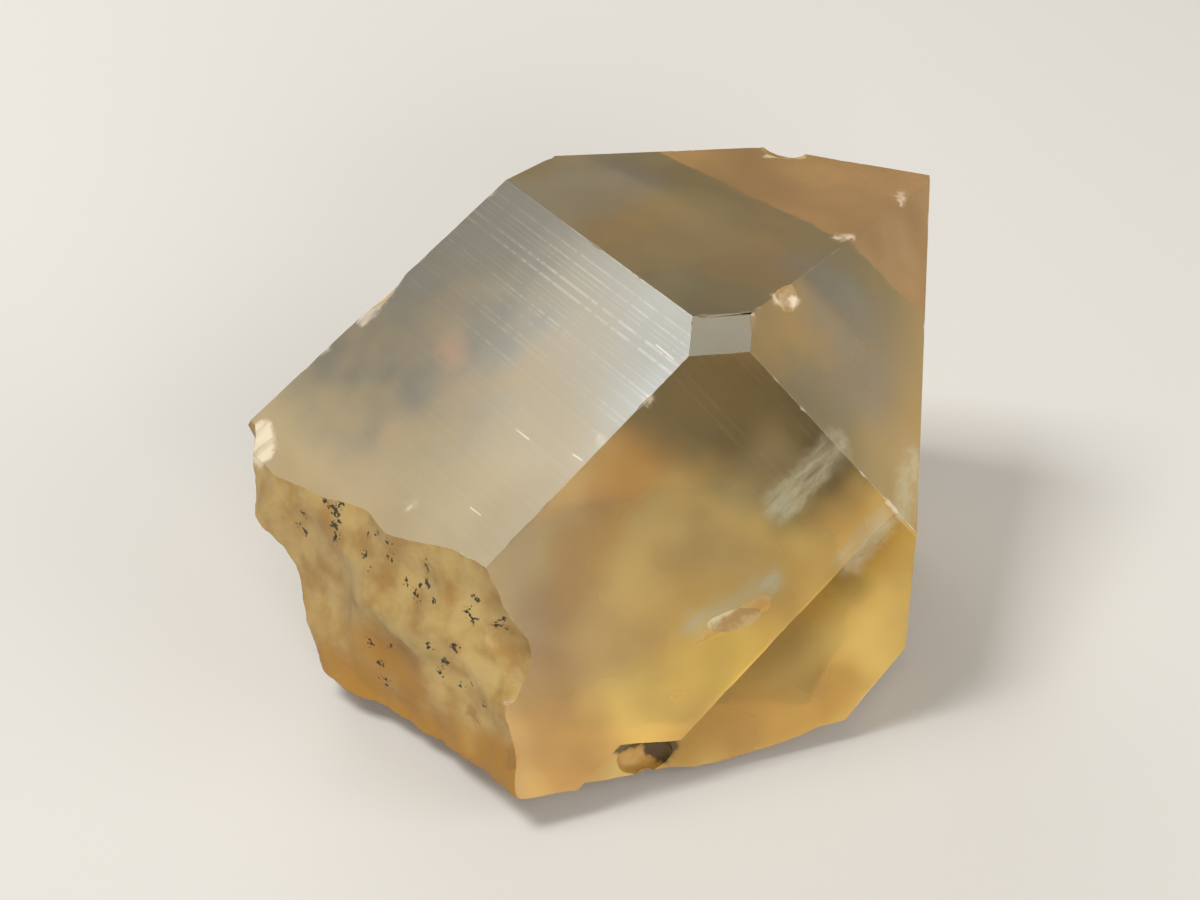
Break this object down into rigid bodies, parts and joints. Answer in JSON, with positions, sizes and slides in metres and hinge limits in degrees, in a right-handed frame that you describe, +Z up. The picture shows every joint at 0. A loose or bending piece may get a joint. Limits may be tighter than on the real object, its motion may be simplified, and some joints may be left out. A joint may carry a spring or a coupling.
{
  "type": "citrine crystal",
  "caption": "Stout golden quartz point with satin prism faces, a faceted tip and a rough broken base, lying on its broken underside.",
  "frame": {"origin": "on the ground, below the middle of the crystal's bounding box", "axes": "+X towards the crystal's tip along its longest side, +Z up as it rests; the broken base faces -X and -Y"},
  "size_m": [0.0428, 0.041, 0.0242],
  "materials": {
    "citrine": "translucent golden quartz, satin growth faces, rough creamy break, hazy inside"
  },
  "bodies": {
    "root": {"citrine_crystal": "citrine"}
  },
  "joints": []
}
